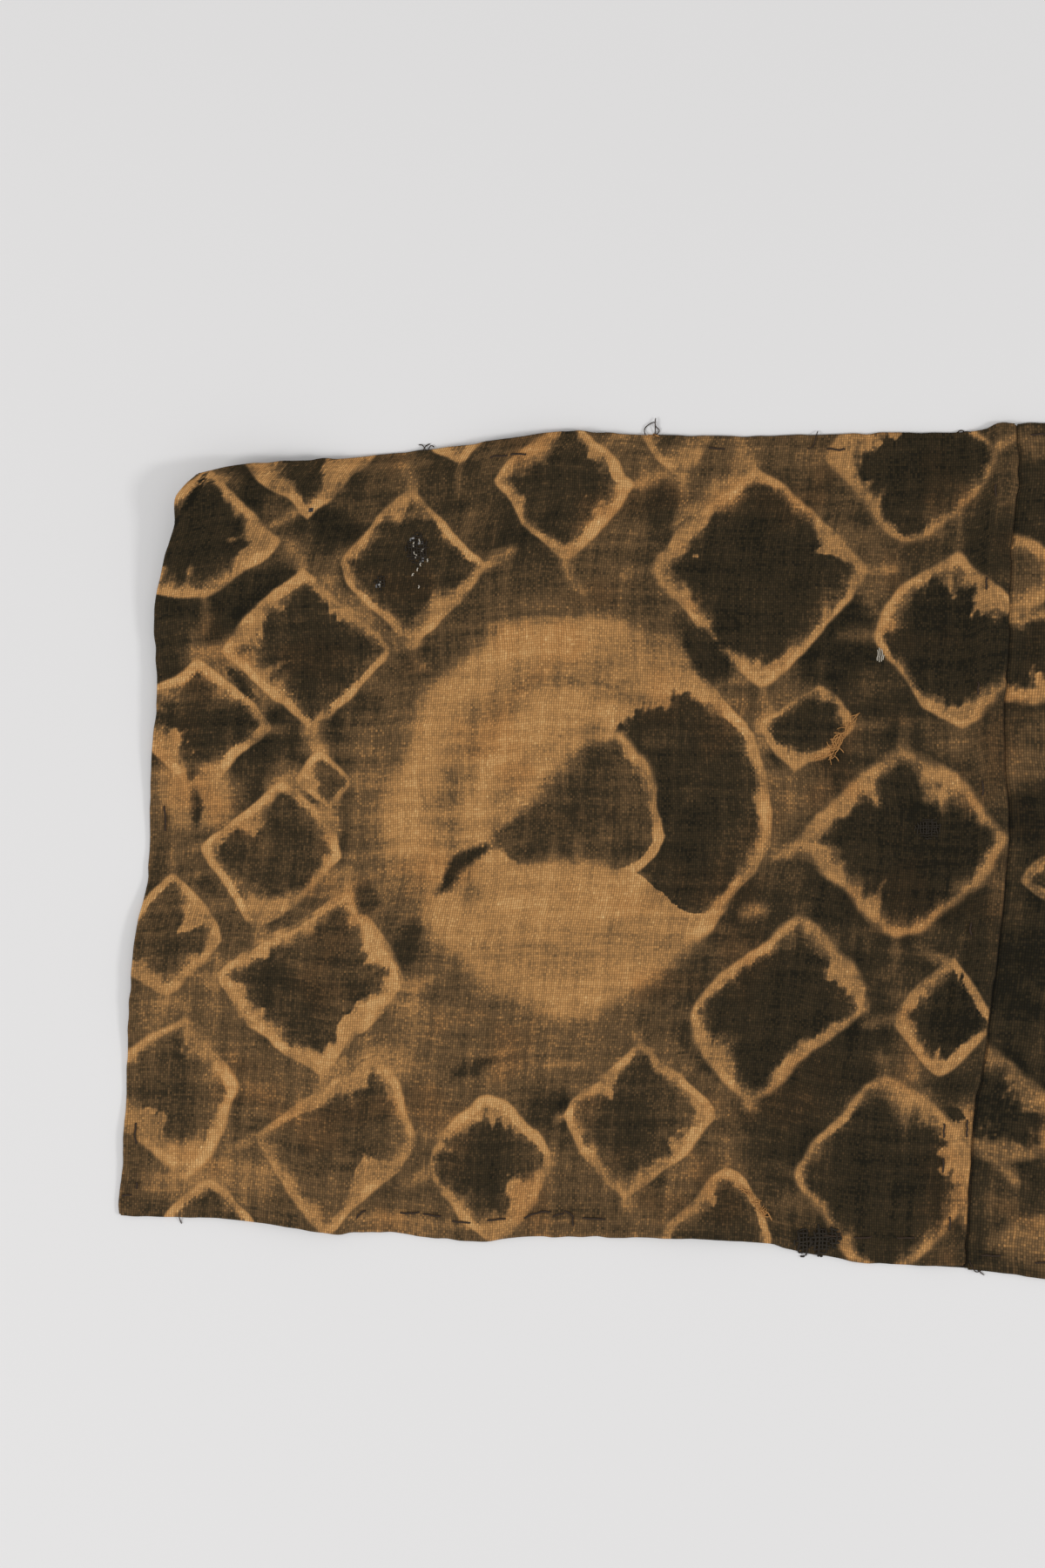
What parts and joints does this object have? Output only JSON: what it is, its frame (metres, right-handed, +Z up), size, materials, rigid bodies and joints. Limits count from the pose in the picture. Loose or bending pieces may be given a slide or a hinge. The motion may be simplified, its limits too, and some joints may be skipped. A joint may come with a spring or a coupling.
{
  "type": "tie-dyed raffia cloth",
  "caption": "Flat length of hand-woven raffia cloth, tie-dyed with ring motifs, its panels lapped and sewn edge to edge with folded hems, for laying out, hanging or wrapping.",
  "frame": {"origin": "on the surface under the middle of the cloth, where the seam between the panels crosses it", "axes": "+X along the cloth from the left panel to the right one, +Y towards its top edge, +Z up out of the dyed face"},
  "size_m": [0.8975, 0.4436, 0.0154],
  "materials": {
    "dyed_raffia": "matte plain weave, dark brown dye with tan resist rings",
    "sewing_thread": "matte twisted raffia thread, dark brown"
  },
  "bodies": {
    "root": {"panel_left": "dyed_raffia", "panel_right": "dyed_raffia"}
  },
  "joints": []
}
